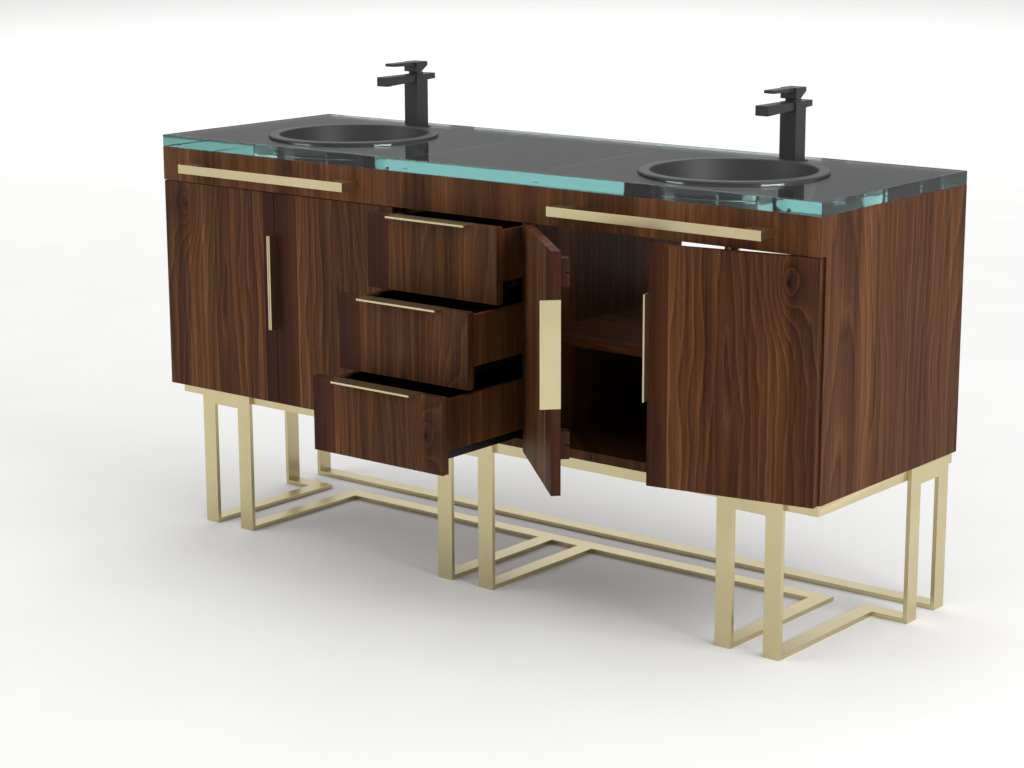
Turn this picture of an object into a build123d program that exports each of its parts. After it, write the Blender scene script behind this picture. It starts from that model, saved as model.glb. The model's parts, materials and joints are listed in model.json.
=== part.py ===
from build123d import *
import os

os.makedirs("parts", exist_ok=True)

# Double vanity cabinet: walnut body with two pairs of doors and three drawers, thick glass top
# with two round basins, square faucets, brass towel bars and a flat-bar brass base.
# Millimetres. X runs along the width, +Y points to the wall, +Z is up.
# The origin is on the floor, at mid-width, under the middle of the long inner floor runner.

# ---- overall sizes ----
overall_width = 1800.0
overall_depth = 568.0
overall_height = 930.0          # floor to the top face of the glass
body_bottom = 334.0             # floor to the underside of the wooden body
glass_thick = 28.0
glass_edge = 1.2                # bevel along the glass edges
pad_thick = 0.5                 # clear pads between body and glass
pad_radius = 8.0
pad_inset = 60.0                # body's front and rear to the pads
over = 1.0                      # how far a cutting tool runs past the face it cuts

# ---- wooden body ----
panel_thick = 19.0
front_thick = 20.0              # doors, drawer fronts and apron
bottom_thick = 20.0
door_setback = 1.0              # space between the doors' backs and the body's front edges
drawer_column = 360.0           # the drawer stack; the doors share the rest of the width
front_gap = 1.5
outer_reveal = 1.0
apron_height = 78.0
rail_thick = 19.0
back_rail_height = 90.0
back_panel_height = 246.0
wall_hole_radius = 4.0
wall_hole_spread = 1200.0
shelf_thick = 20.0
shelf_setback = 40.0
shelf_play = 1.0
shelf_pin_radius = 2.5
shelf_pin_length = 16.0
shelf_pin_inset = 70.0          # body's front and back rail to the pins
pin_play = 0.1

# ---- doors ----
door_angles = {"left_outer": 0.0, "left_inner": 0.0, "right_inner": 42.5, "right_outer": 10.0}
hinge_from_end = 95.0
cup_radius = 17.5
cup_depth = 12.0
cup_wall = 1.5
cup_play = 0.2
cup_end_play = 0.5
cup_from_edge = 23.0
hinge_arm_width = 14.0
hinge_arm_length = 62.0
hinge_arm_thick = 12.0
hinge_plate_length = 48.0
hinge_plate_height = 36.0
hinge_plate_thick = 4.0
hinge_plate_setback = 20.0      # body's front edge to the plate
hardware_setback = 2.0          # body's front edge to arms and runners
front_edge = 0.6                # bevel along the edges of doors and drawer fronts
catch_low = 94.0                # door's lower edge to the middle of the lower block
catch_high = 48.0               # door's upper edge to the middle of the upper block
catch_height = 56.0
catch_width = 30.0
catch_thick = 23.0
catch_from_edge = 46.0
catch_slot = 3.0
catch_slot_depth = 8.0

# ---- pulls: flat brass plates let into an edge ----
pull_length = 217.0
pull_thick = 4.0
pull_reach = 22.0
pull_above_middle = 40.0        # door's middle to the pull's middle

# ---- drawers ----
drawer_open = {"bottom": 259.0, "middle": 176.0, "top": 82.0}
drawer_side_play = 2.5
drawer_side_thick = 14.0
drawer_bottom_thick = 8.0
drawer_back_room = 29.0         # closed drawer box to the back panel
drawer_lift = 44.0              # from the front's lower edge to the box's underside
drawer_drop = 11.0              # from the front's top edge to the box's rim
runner_short = 20.0             # how much shorter a runner is than the box
runner_height = 19.0
runner_wall = 2.0
runner_reach = 20.0
slide_width = 10.0
slide_play = 0.4

# ---- brass base ----
bar_width = 40.0
bar_thick = 10.0
leg_gap = 76.0                  # clear space inside a pair of legs
end_leg_inset = 84.0            # body end to the outer edge of the end front leg
ring_height = 26.0
ring_inset = 10.0               # body end to the ring's outer face
ring_setback = 32.0             # front plane to the ring's front face
side_leg_inset = 31.0           # back plane to the last side leg
screw_radius = 3.0
screw_head = 3.0
pan_head_radius = 5.5
ring_head_radius = 4.4
screw_bite = 10.0               # length of a screw in the piece it holds
pilot_room = 2.0                # depth of a pilot hole past the screw's tip

# ---- towel bars ----
towel_length = 516.0
towel_height = 20.0
towel_thick = 4.0
towel_reach = 50.0              # apron face to the bar's front face
towel_above_apron = 28.0        # apron's lower edge to the bar's lower edge
towel_block = 48.0
towel_block_inset = 1.0

# ---- basins ----
basin_shift = 10.0              # from the middle of the door pair towards the drawers
basin_margin = 61.5             # front plane to the rim
basin_radius = 198.0
rim_height = 6.0
rim_width = 25.0
rim_round = 4.0
basin_wall = 8.0
basin_depth = 118.0
basin_draft = 27.0              # how much narrower the bowl is at its floor
basin_corner = 70.0
bowl_play = 4.0                 # glass cut-out around the bowl
seal_thick = 0.5
seal_width = 6.0
seal_inset = 1.0                # glass cut-out to the seal
basin_fall = 8.0                # slope of the bowl's floor to the drain
drain_recess = 36.0
drain_hole = 22.0
drain_flange = 32.0
drain_flange_thick = 3.0
drain_play = 1.5
drain_outer = 20.5
drain_inner = 17.0
drain_tail_radius = 16.0
drain_tail_wall = 2.0
drain_body_length = 42.0
drain_length = 92.0
guide_low = 20.0                # bowl floor to the underside of the stem's guide bar
guide_height = 8.0
guide_width = 6.0
guide_hub = 8.0
nut_radius = 30.0
nut_height = 9.0
washer_thick = 2.0
stopper_radius = 27.0
stopper_thick = 5.0
stopper_round = 2.0
stopper_stem = 4.0
stopper_stem_length = 40.0
stopper_gap = 0.5
stem_play = 0.08

# ---- faucets ----
faucet_gap = 0.5                # rim to the faucet's base
faucet_base = 48.0
faucet_base_thick = 3.0
faucet_column = 40.0
faucet_edge = 0.8
spout_width = 32.0
spout_front = 102.0             # column face to the spout's tip
spout_back = 32.0
spout_top = 127.0               # above the glass
spout_tip_thick = 21.5
spout_back_thick = 13.5
aerator_radius = 11.0
aerator_height = 5.0
aerator_wall = 2.5
aerator_proud = 1.5
aerator_mouth = 2.5
aerator_from_tip = 18.0
neck_radius = 17.0
neck_height = 5.0
neck_spindle = 10.0
spindle_depth = 14.0
spindle_end_play = 1.0
spindle_play = 0.08
handle_gap = 1.5
handle_height = 23.5
handle_size = 40.0
handle_chamfer = 12.0           # rise of the slope under the handle's rear
handle_chamfer_run = 22.0
lever_length = 75.0
lever_width = 26.0
lever_thick = 7.0
lever_root_thick = 9.0
stem_radius = 6.0
stem_rise = 12.0
pivot_radius = 2.0
pivot_play = 0.08
pivot_inset = 4.0               # handle's side to the pin's end
pivot_rise = 7.5                # above the handle's underside
stem_room = 3.0
shank_radius = 16.0
shank_length = 52.0
shank_play = 1.5
inlet_radius = 4.5
inlet_depth = 14.0
inlet_spread = 7.0
shank_nut_radius = 26.0

# ---- places worked out from the sizes ----
leg_pitch = bar_width + leg_gap
side_leg_front = overall_depth - side_leg_inset - bar_width - leg_pitch
front_y = -(side_leg_front + bar_width / 2)
back_y = front_y + overall_depth
half_width = overall_width / 2
glass_bottom = overall_height - glass_thick
body_top = glass_bottom - pad_thick
carcass_front = front_y + front_thick + door_setback
floor_of_body = body_bottom + bottom_thick
apron_bottom = body_top + pad_thick - apron_height
front_top = apron_bottom - front_gap
front_height = front_top - body_bottom
front_middle = body_bottom + front_height / 2
shelf_top = front_middle + shelf_thick / 2
rear_face = back_y - rail_thick
partition_x = drawer_column / 2
door_middle = (partition_x + half_width) / 2
inner_side = half_width - panel_thick
drawer_count = len(drawer_open)
drawer_height = (front_height - (drawer_count - 1) * front_gap) / drawer_count
drawer_length = rear_face - drawer_back_room - front_y - front_thick
runner_length = drawer_length - runner_short
leg_front = front_y + ring_setback - bar_thick
ring_back = back_y - bar_thick
ring_bottom = body_bottom - ring_height
bridge_bottom = body_bottom - bar_width
side_leg_y = [front_y + side_leg_front, front_y + side_leg_front + leg_pitch]
end_leg = half_width - end_leg_inset - bar_width
front_leg_x = [-end_leg - bar_width, -end_leg + leg_pitch - bar_width,
               -leg_pitch / 2 - bar_width / 2, leg_pitch / 2 - bar_width / 2,
               end_leg - leg_pitch, end_leg]
basin_centre_x = door_middle - basin_shift
basin_y = front_y + basin_margin + basin_radius
faucet_y = basin_y + basin_radius + faucet_gap + faucet_base / 2
bowl_radius = basin_radius - rim_width + basin_wall
rim_top = overall_height + rim_height
basin_floor = rim_top - basin_depth
handle_base = overall_height + spout_top + neck_height + handle_gap
hinge_heights = [body_bottom + hinge_from_end, front_top - hinge_from_end]


def block(x0, x1, y0, y1, z0, z1):
    """A box given by its limits."""
    centre = Pos((x0 + x1) / 2, (y0 + y1) / 2, (z0 + z1) / 2)
    return centre * Box(abs(x1 - x0), abs(y1 - y0), abs(z1 - z0))


def rod(x, y, z0, z1, radius):
    """An upright cylinder."""
    return Pos(x, y, (z0 + z1) / 2) * Cylinder(radius, z1 - z0)


def rod_y(x, z, y0, y1, radius):
    """A cylinder along Y."""
    return Pos(x, (y0 + y1) / 2, z) * Rot(90, 0, 0) * Cylinder(radius, y1 - y0)


def rod_x(y, z, x0, x1, radius):
    """A cylinder along X."""
    return Pos((x0 + x1) / 2, y, z) * Rot(0, 90, 0) * Cylinder(radius, x1 - x0)


def save(name, pieces):
    """Writes one node; its pieces stay separate solids."""
    solids = [solid for piece in pieces for solid in piece.solids()]
    shape = solids[0] if len(solids) == 1 else Compound(children=solids)
    export_step(shape, f"parts/{name}.step")
    print(f"{name}: {len(solids)} solids, {sum(s.volume for s in solids) / 1000:.1f} cm3")


# ---- wooden body ----
def shelf_pin_places(low_x, high_x):
    """The pins' places in a bay: the X of the wall's face, and Y."""
    rows = [carcass_front + shelf_pin_inset, rear_face - shelf_pin_inset]
    return [(x, y) for x in (low_x, high_x) for y in rows]


def shelf_pin(x, y, radius):
    """A pin half in the wall and half under the shelf."""
    z = shelf_top - shelf_thick - shelf_pin_radius
    half = shelf_pin_length / 2
    return rod_x(y, z, x - half, x + half, radius)


def bay_limits(side):
    """The clear width of a door bay, low X first."""
    near = partition_x + panel_thick / 2
    return (near, inner_side) if side > 0 else (-inner_side, -near)


def upright(x0, x1, back):
    """A side or a partition, with its shelf pin holes."""
    wall = block(x0, x1, carcass_front, back, body_bottom, body_top)
    for side in (-1, 1):
        for x, y in shelf_pin_places(*bay_limits(side)):
            if x0 - over < x < x1 + over:
                wall -= shelf_pin(x, y, shelf_pin_radius + pin_play)
    return wall


def make_uprights():
    save("side_panel_left", [upright(-half_width, -inner_side, back_y)])
    save("side_panel_right", [upright(inner_side, half_width, back_y)])
    for name, x in (("left", -partition_x), ("right", partition_x)):
        wall = upright(x - panel_thick / 2, x + panel_thick / 2, rear_face)
        foot = block(x - panel_thick, x + panel_thick, front_y, back_y, 0, floor_of_body)
        save(f"partition_{name}", [wall - foot])


def ring_screw_places():
    """Screws that hold the ring to the bottom panel, along the front and back bars."""
    rows = [front_y + ring_setback + bar_thick / 2, ring_back + bar_thick / 2]
    xs = [-end_leg, -partition_x - leg_gap, partition_x + leg_gap, end_leg]
    return [(x, y) for x in xs for y in rows]


def make_bottom_panel():
    panel = block(-inner_side, inner_side, carcass_front, back_y, body_bottom, floor_of_body)
    for x, y in ring_screw_places():
        panel -= rod(x, y, body_bottom - over, body_bottom + screw_bite + pilot_room,
                     screw_radius + pin_play)
    save("bottom_panel", [panel])


def towel_block_places():
    """The centres of the four towel bar blocks along X."""
    reach = towel_length / 2 - towel_block / 2
    return [side * door_middle + way * reach for side in (-1, 1) for way in (-1, 1)]


def towel_screw_z():
    return apron_bottom + towel_above_apron + towel_height / 2


def make_apron():
    apron = block(-half_width, half_width, front_y, front_y + front_thick, apron_bottom, body_top)
    for x in towel_block_places():
        apron -= rod_y(x, towel_screw_z(), front_y - over, front_y + front_thick + over,
                       screw_radius + pin_play)
    save("apron", [apron])


def make_front_rails():
    """The rails behind the apron, one for each bay."""
    near = partition_x - panel_thick / 2
    spans = [(-inner_side, -near - panel_thick), (-near, near), (near + panel_thick, inner_side)]
    rails = []
    for x0, x1 in spans:
        rail = block(x0, x1, front_y + front_thick, front_y + front_thick + rail_thick,
                     apron_bottom, body_top)
        for x in towel_block_places():
            if x0 < x < x1:
                rail -= rod_y(x, towel_screw_z(), front_y, carcass_front + rail_thick + over,
                              pan_head_radius + pin_play)
        rails.append(rail)
    save("front_rails", rails)


def make_back():
    rail = block(-inner_side, inner_side, rear_face, back_y,
                 body_top - back_rail_height, body_top)
    z = body_top - back_rail_height / 2
    for x in (-wall_hole_spread / 2, wall_hole_spread / 2):
        rail -= rod_y(x, z, rear_face - over, back_y + over, wall_hole_radius)
    save("back_rail", [rail])
    low_top = floor_of_body + back_panel_height
    lower = block(-inner_side, inner_side, rear_face, back_y, floor_of_body, low_top)
    reach = partition_x + panel_thick / 2
    upper = block(-reach, reach, rear_face, back_y, low_top, body_top - back_rail_height)
    save("back_panel", [lower, upper])


def make_shelves():
    pins = []
    for name, side in (("left", -1), ("right", 1)):
        x0, x1 = bay_limits(side)
        shelf = block(x0 + shelf_play, x1 - shelf_play, front_y + shelf_setback,
                      rear_face - shelf_play, shelf_top - shelf_thick, shelf_top)
        save(f"shelf_{name}", [shelf])
        pins += [shelf_pin(x, y, shelf_pin_radius) for x, y in shelf_pin_places(x0, x1)]
    save("shelf_pins", pins)


# ---- glass top ----
def make_glass():
    slab = block(-half_width, half_width, front_y, back_y, glass_bottom, overall_height)
    slab = chamfer(slab.edges(), glass_edge)
    for side in (-1, 1):
        x = side * basin_centre_x
        slab -= rod(x, basin_y, glass_bottom - over, overall_height + over,
                    bowl_radius + bowl_play)
        slab -= rod(x, faucet_y, glass_bottom - over, overall_height + over,
                    shank_radius + shank_play)
    save("glass_top", [slab])


def washer(x, y, z0, z1, outer, inner):
    """A flat ring."""
    return rod(x, y, z0, z1, outer) - rod(x, y, z0 - over, z1 + over, inner)


def make_seals():
    """Clear pads under the glass, and the gaskets under the rims, faucets and drain nuts."""
    walls = [-half_width + panel_thick / 2, -partition_x, partition_x, half_width - panel_thick / 2]
    pieces = [rod(x, y, body_top, glass_bottom, pad_radius)
              for x in walls for y in (carcass_front + pad_inset, rear_face - pad_inset)]
    bowl_bottom = basin_floor - basin_wall
    seal_radius = bowl_radius + bowl_play + seal_inset
    for side in (-1, 1):
        x = side * basin_centre_x
        pieces.append(washer(x, basin_y, overall_height, overall_height + seal_thick,
                             seal_radius + seal_width, seal_radius))
        pieces.append(washer(x, basin_y, bowl_bottom - washer_thick, bowl_bottom,
                             nut_radius, drain_outer + drain_play))
        pieces.append(washer(x, faucet_y, glass_bottom - washer_thick, glass_bottom,
                             shank_nut_radius, shank_radius + shank_play))
    save("seals", pieces)


# ---- basins and drains ----
def bowl_outline(radius_top, radius_bottom, low, top, corner):
    """Half of a bowl's section, with its rounded lower corner."""
    points = [(0, low), (drain_recess, low), (radius_bottom, low + basin_fall),
              (radius_top, top), (0, top)]
    face = make_face(Polyline(*points, close=True))
    lower = [v for v in face.vertices() if abs(v.X - radius_bottom) < 0.01]
    return fillet(lower, corner)


def make_basin(name, side):
    low = basin_floor
    top_radius = basin_radius - rim_width
    low_radius = top_radius - basin_draft
    rim_low = overall_height + seal_thick
    inner = bowl_outline(top_radius, low_radius, low, rim_top, basin_corner)
    outer = bowl_outline(top_radius + basin_wall, low_radius + basin_wall, low - basin_wall,
                         rim_low, basin_corner + basin_wall)
    rim = make_face(Polyline((0, rim_low), (basin_radius, rim_low), (basin_radius, rim_top),
                             (0, rim_top), close=True))
    section = outer + rim - inner
    section -= Pos(drain_hole / 2, low) * Rectangle(drain_hole, basin_wall * 4)
    bowl = revolve(Plane.XZ * section, Axis.Z)
    rims = bowl.edges().filter_by(GeomType.CIRCLE).group_by(Axis.Z)[-1]
    bowl = fillet(rims, rim_round)
    save(f"basin_{name}", [Pos(side * basin_centre_x, basin_y, 0) * bowl])


def drain_profile():
    """Half of the drain body's section: flange, body and narrower tailpiece."""
    low = basin_floor
    top = low + drain_flange_thick
    step = low - drain_body_length
    end = low - drain_length
    tail_bore = drain_tail_radius - drain_tail_wall
    return [(drain_inner, top), (drain_flange, top), (drain_flange, low), (drain_outer, low),
            (drain_outer, step), (drain_tail_radius, step), (drain_tail_radius, end),
            (tail_bore, end), (tail_bore, step), (drain_inner, step + drain_tail_wall)]


def make_drains():
    """Each drain body carries a cross bar that guides the stopper's stem."""
    drains = []
    low = basin_floor
    for side in (-1, 1):
        body = revolve(Plane.XZ * make_face(Polyline(*drain_profile(), close=True)), Axis.Z)
        guide_top = low - guide_low + guide_height
        bar = block(-drain_inner - over, drain_inner + over, -guide_width / 2, guide_width / 2,
                    low - guide_low, guide_top)
        hub = rod(0, 0, low - guide_low, guide_top, guide_hub)
        bore = rod(0, 0, low - guide_low - over, low, stopper_stem + stem_play)
        drain = body + (bar + hub) - bore
        drains.append(Pos(side * basin_centre_x, basin_y, 0) * drain)
    save("drains", drains)


def make_stopper(name, side):
    """A lift-up stopper: a shallow cap on a stem."""
    seat = basin_floor + drain_flange_thick + stopper_gap
    cap = rod(0, 0, seat, seat + stopper_thick, stopper_radius)
    cap = fillet(cap.edges().group_by(Axis.Z)[-1], stopper_round)
    stem = rod(0, 0, seat - stopper_stem_length, seat, stopper_stem)
    save(f"stopper_{name}", [Pos(side * basin_centre_x, basin_y, 0) * (cap + stem)])


def hex_nut(x, y, z0, z1, radius, bore):
    nut = Pos(x, y, z0) * extrude(RegularPolygon(radius, 6), z1 - z0)
    return nut - rod(x, y, z0 - over, z1 + over, bore)


def make_nuts():
    nuts = []
    drain_top = basin_floor - basin_wall - washer_thick
    shank_top = glass_bottom - washer_thick
    for side in (-1, 1):
        x = side * basin_centre_x
        nuts.append(hex_nut(x, basin_y, drain_top - nut_height, drain_top, nut_radius,
                            drain_outer + pin_play))
        nuts.append(hex_nut(x, faucet_y, shank_top - nut_height, shank_top, shank_nut_radius,
                            shank_radius + pin_play))
    save("plumbing_nuts", nuts)


# ---- faucets ----
def make_faucet(name, side):
    """The fixed body: base plate, column with spout, aerator and threaded shank."""
    z = overall_height
    top = z + spout_top
    half = faucet_column / 2
    base = block(-faucet_base / 2, faucet_base / 2, -faucet_base / 2, faucet_base / 2,
                 z, z + faucet_base_thick)
    column = block(-half, half, -half, half, z + faucet_base_thick, top)
    outline = Polyline((-half - spout_front, top), (half + spout_back, top),
                       (half + spout_back, top - spout_back_thick),
                       (-half - spout_front, top - spout_tip_thick), close=True)
    spout = extrude(Plane.YZ * make_face(outline), spout_width / 2, both=True)
    body = column + spout
    body = chamfer(body.edges().filter_by(Axis.Z), faucet_edge)
    body -= rod(0, 0, top - spindle_depth, top + over, neck_spindle + spindle_play)
    aerator_y = -half - spout_front + aerator_from_tip
    spout_slope = (spout_tip_thick - spout_back_thick) / (spout_front + faucet_column + spout_back)
    under = top - spout_tip_thick + spout_slope * aerator_from_tip
    body -= rod(0, aerator_y, under - over, under + aerator_height, aerator_radius)
    aerator = rod(0, aerator_y, under - aerator_proud, under + aerator_height, aerator_radius)
    aerator -= rod(0, aerator_y, under - aerator_proud - over,
                   under - aerator_proud + aerator_mouth, aerator_radius - aerator_wall)
    shank = rod(0, 0, z - shank_length, z, shank_radius)
    for way in (-1, 1):
        shank -= rod(way * inlet_spread, 0, z - shank_length - over,
                     z - shank_length + inlet_depth, inlet_radius)
    place = Pos(side * basin_centre_x, faucet_y, 0)
    save(f"faucet_{name}_body", [place * p for p in (base, body, aerator, shank)])


def make_neck(name, side):
    """The turning neck: a disc on a spindle, with the stem that carries the handle."""
    top = overall_height + spout_top
    neck = rod(0, 0, top, top + neck_height, neck_radius)
    neck += rod(0, 0, top - spindle_depth + spindle_end_play, top, neck_spindle)
    neck += rod(0, 0, top + neck_height, handle_base + stem_rise, stem_radius)
    neck -= rod_x(0, handle_base + pivot_rise, -stem_radius - over, stem_radius + over,
                  pivot_radius + pivot_play)
    save(f"faucet_{name}_neck", [Pos(side * basin_centre_x, faucet_y, 0) * neck])


def make_lever(name, side):
    """The handle block with its flat lever, hollow around the stem, and its cross pin."""
    low = handle_base
    top = low + handle_height
    half = handle_size / 2
    corner = Polyline((-half, low), (half - handle_chamfer_run, low), (half, low + handle_chamfer),
                      (half, top), (-half, top), close=True)
    handle = extrude(Plane.YZ * make_face(corner), half, both=True)
    lever = Polyline((-half - lever_length, top), (-half, top), (-half, top - lever_root_thick),
                     (-half - lever_length, top - lever_thick), close=True)
    handle += extrude(Plane.YZ * make_face(lever), lever_width / 2, both=True)
    room = stem_radius + stem_room
    handle -= block(-room, room, -room, room, low - over, low + stem_rise + stem_room)
    pin = rod_x(0, low + pivot_rise, -half + pivot_inset, half - pivot_inset, pivot_radius)
    place = Pos(side * basin_centre_x, faucet_y, 0)
    save(f"faucet_{name}_lever", [place * (handle - pin), place * pin])


# ---- towel bars ----
def make_towel_bars():
    pieces = []
    z0 = apron_bottom + towel_above_apron
    for side in (-1, 1):
        x0 = side * door_middle - towel_length / 2
        bar = block(x0, x0 + towel_length, front_y - towel_reach,
                    front_y - towel_reach + towel_thick, z0, z0 + towel_height)
        pieces.append(bar)
    for x in towel_block_places():
        post = block(x - towel_block / 2, x + towel_block / 2,
                     front_y - towel_reach + towel_thick, front_y,
                     z0 + towel_block_inset, z0 + towel_height - towel_block_inset)
        post -= rod_y(x, towel_screw_z(), front_y - screw_bite - pilot_room, front_y + over,
                      screw_radius + pin_play)
        pieces.append(post)
    save("towel_bars", pieces)


# ---- brass base ----
def make_ring():
    """The ring under the body, with two cross bars."""
    outer = half_width - ring_inset
    y0 = front_y + ring_setback
    bars = [block(-outer, outer, y0, y0 + bar_thick, ring_bottom, body_bottom),
            block(-outer, outer, ring_back, back_y, ring_bottom, body_bottom)]
    for x in (-outer, -leg_pitch / 2 - bar_thick / 2, leg_pitch / 2 - bar_thick / 2,
              outer - bar_thick):
        bars.append(block(x, x + bar_thick, y0 + bar_thick, ring_back, ring_bottom, body_bottom))
    cut = []
    for x, y in ring_screw_places():
        cut.append(rod(x, y, ring_bottom - over, body_bottom + over, screw_radius + pin_play))
        cut.append(rod(x, y, ring_bottom - over, ring_bottom + screw_head,
                       ring_head_radius + pin_play))
    for index in (0, 1):
        for tool in cut:
            bars[index] -= tool
    save("ring_frame", bars)


def make_front_legs():
    """Three pairs of flat-bar legs, each joined by a bridge plate at the top."""
    pieces = []
    for x in front_leg_x:
        pieces.append(block(x, x + bar_width, leg_front, leg_front + bar_thick, 0, bridge_bottom))
    for left in front_leg_x[::2]:
        pieces.append(block(left, left + leg_pitch + bar_width, leg_front, leg_front + bar_thick,
                            bridge_bottom, body_bottom))
    save("legs_front", pieces)


def make_side_legs():
    pieces = []
    for side in (-1, 1):
        x0, x1 = sorted((side * half_width, side * (half_width - bar_thick)))
        for y in side_leg_y:
            pieces.append(block(x0, x1, y, y + bar_width, 0, bridge_bottom))
        pieces.append(block(x0, x1, side_leg_y[0], side_leg_y[1] + bar_width,
                            bridge_bottom, body_bottom))
    save("legs_side", pieces)


def runner(x0, x1, y0, y1):
    """A flat bar lying on the floor."""
    return block(x0, x1, y0, y1, 0, bar_thick)


def make_runners():
    start = leg_front + bar_thick
    near = side_leg_y[0]
    end = half_width - bar_thick
    corner = []
    for side, x in ((-1, front_leg_x[0]), (1, front_leg_x[5])):
        corner.append(runner(x, x + bar_width, start, near + bar_width))
        outer_edge = x if side < 0 else x + bar_width
        corner.append(runner(*sorted((outer_edge, side * end)), near, near + bar_width))
    save("floor_runners_corner", corner)
    inner = [runner(front_leg_x[1], front_leg_x[4] + bar_width, near, near + bar_width)]
    for x in front_leg_x[1:5]:
        inner.append(runner(x, x + bar_width, start, near))
    save("floor_runners_inner", inner)
    save("floor_runner_rear", [runner(-end, end, side_leg_y[1], side_leg_y[1] + bar_width)])


def make_screws():
    """Sunk-head screws of the ring and pan-head screws of the towel bars."""
    screws = []
    for x, y in ring_screw_places():
        head = rod(x, y, ring_bottom, ring_bottom + screw_head, ring_head_radius)
        screws.append(head + rod(x, y, ring_bottom, body_bottom + screw_bite, screw_radius))
    for x in towel_block_places():
        back = front_y + front_thick
        head = rod_y(x, towel_screw_z(), back, back + screw_head, pan_head_radius)
        screws.append(head + rod_y(x, towel_screw_z(), front_y - screw_bite, back, screw_radius))
    save("screws", screws)


# ---- doors ----
def door_limits(name):
    """The closed door's low X, high X and hinge side (-1 low, 1 high)."""
    low = partition_x + front_gap / 2
    high = half_width - outer_reveal
    near = door_middle - front_gap / 2
    far = door_middle + front_gap / 2
    spans = {"right_inner": (low, near, -1), "right_outer": (far, high, 1),
             "left_inner": (-near, -low, 1), "left_outer": (-high, -far, -1)}
    return spans[name]


def swing(shape, name):
    """Turns a closed door's piece about its hinge line to the rest pose."""
    x0, x1, side = door_limits(name)
    line = Axis((x0 if side < 0 else x1, front_y, 0), (0, 0, 1))
    return shape.rotate(line, side * door_angles[name])


def make_door(name):
    x0, x1, side = door_limits(name)
    back = front_y + front_thick
    edge, free = (x0, x1) if side < 0 else (x1, x0)
    panel = block(x0, x1, front_y, back, body_bottom, front_top)
    panel = chamfer(panel.edges(), front_edge)
    pull_low = front_middle + pull_above_middle - pull_length / 2
    plate = block(free, free + side * pull_thick, front_y - pull_reach, back,
                  pull_low, pull_low + pull_length)
    panel -= block(free - side * over, free + side * pull_thick, front_y - over, back + over,
                   pull_low, pull_low + pull_length)
    cups = []
    cup_x = edge - side * cup_from_edge
    for z in hinge_heights:
        panel -= rod_y(cup_x, z, back - cup_depth - cup_end_play, back + over,
                       cup_radius + cup_play)
        cup = rod_y(cup_x, z, back - cup_depth, back, cup_radius)
        cup -= rod_y(cup_x, z, back - cup_depth + cup_wall, back + over, cup_radius - cup_wall)
        cups.append(cup)
    blocks = []
    catch_x = free + side * catch_from_edge
    half = catch_height / 2
    for z in (body_bottom + catch_low, front_top - catch_high):
        piece = block(catch_x - catch_width / 2, catch_x + catch_width / 2, back,
                      back + catch_thick, z - half, z + half)
        piece -= block(catch_x - catch_width, catch_x + catch_width,
                       back + catch_thick - catch_slot_depth, back + catch_thick + over,
                       z - catch_slot / 2, z + catch_slot / 2)
        blocks.append(piece)
    save(f"door_{name}_panel", [swing(p, name) for p in [panel] + blocks])
    save(f"door_{name}_pull", [swing(plate, name)])
    save(f"door_{name}_hinge_cups", [swing(cup, name) for cup in cups])


def make_hinge_arms():
    """The hinges' body side: a plate screwed to the wall and the arm that reaches forward."""
    pieces = []
    near = partition_x + panel_thick / 2
    y_plate = carcass_front + hinge_plate_setback
    y_arm = carcass_front + hardware_setback
    for wall, way in ((-inner_side, 1), (-near, -1), (near, 1), (inner_side, -1)):
        face = wall + way * hinge_plate_thick
        for z in hinge_heights:
            plate = block(wall, face, y_plate, y_plate + hinge_plate_length,
                          z - hinge_plate_height / 2, z + hinge_plate_height / 2)
            arm = block(face, face + way * hinge_arm_thick, y_arm, y_arm + hinge_arm_length,
                        z - hinge_arm_width / 2, z + hinge_arm_width / 2)
            pieces.append(plate + arm)
    save("hinge_arms", pieces)


# ---- drawers ----
def drawer_base(index):
    """The lower edge of a drawer front, counted from the bottom."""
    return body_bottom + index * (drawer_height + front_gap)


def make_drawer(name, index):
    shift = Pos(0, -drawer_open[name], 0)
    z0 = drawer_base(index)
    z1 = z0 + drawer_height
    half = partition_x - front_gap / 2
    back = front_y + front_thick
    front = chamfer(block(-half, half, front_y, back, z0, z1).edges(), front_edge)
    front -= block(-pull_length / 2, pull_length / 2, front_y - over, back + over,
                   z1 - pull_thick, z1 + over)
    plate = block(-pull_length / 2, pull_length / 2, front_y - pull_reach, back,
                  z1 - pull_thick, z1)
    outer = partition_x - panel_thick / 2 - drawer_side_play
    low = z0 + drawer_lift
    high = z1 - drawer_drop
    end = back + drawer_length
    inner = outer - drawer_side_thick
    box = [block(-outer, -inner, back, end, low, high),
           block(inner, outer, back, end, low, high),
           block(-inner, inner, end - drawer_side_thick, end, low, high),
           block(-inner, inner, back, back + drawer_side_thick, low, high),
           block(-inner, inner, back + drawer_side_thick, end - drawer_side_thick,
                 low, low + drawer_bottom_thick)]
    slide_low = low - runner_height + runner_wall + slide_play
    slides = []
    for side in (-1, 1):
        middle = side * (outer - drawer_side_thick / 2)
        slides.append(block(middle - slide_width / 2, middle + slide_width / 2, back,
                            back + runner_length, slide_low, low))
    save(f"drawer_{name}_front", [shift * front])
    save(f"drawer_{name}_box", [shift * p for p in box])
    save(f"drawer_{name}_pull", [shift * plate])
    save(f"drawer_{name}_slides", [shift * p for p in slides])


def make_drawer_runners():
    """Angle rails on the partitions, under each drawer box."""
    rails = []
    wall = partition_x - panel_thick / 2
    for index in range(drawer_count):
        z1 = drawer_base(index) + drawer_lift
        z0 = z1 - runner_height
        for side in (-1, 1):
            y0 = carcass_front + hardware_setback
            web = block(side * wall, side * (wall - runner_wall), y0, y0 + runner_length, z0, z1)
            lip = block(side * wall, side * (wall - runner_reach), y0, y0 + runner_length,
                        z0, z0 + runner_wall)
            rails.append(web + lip)
    save("drawer_runners", rails)


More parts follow.
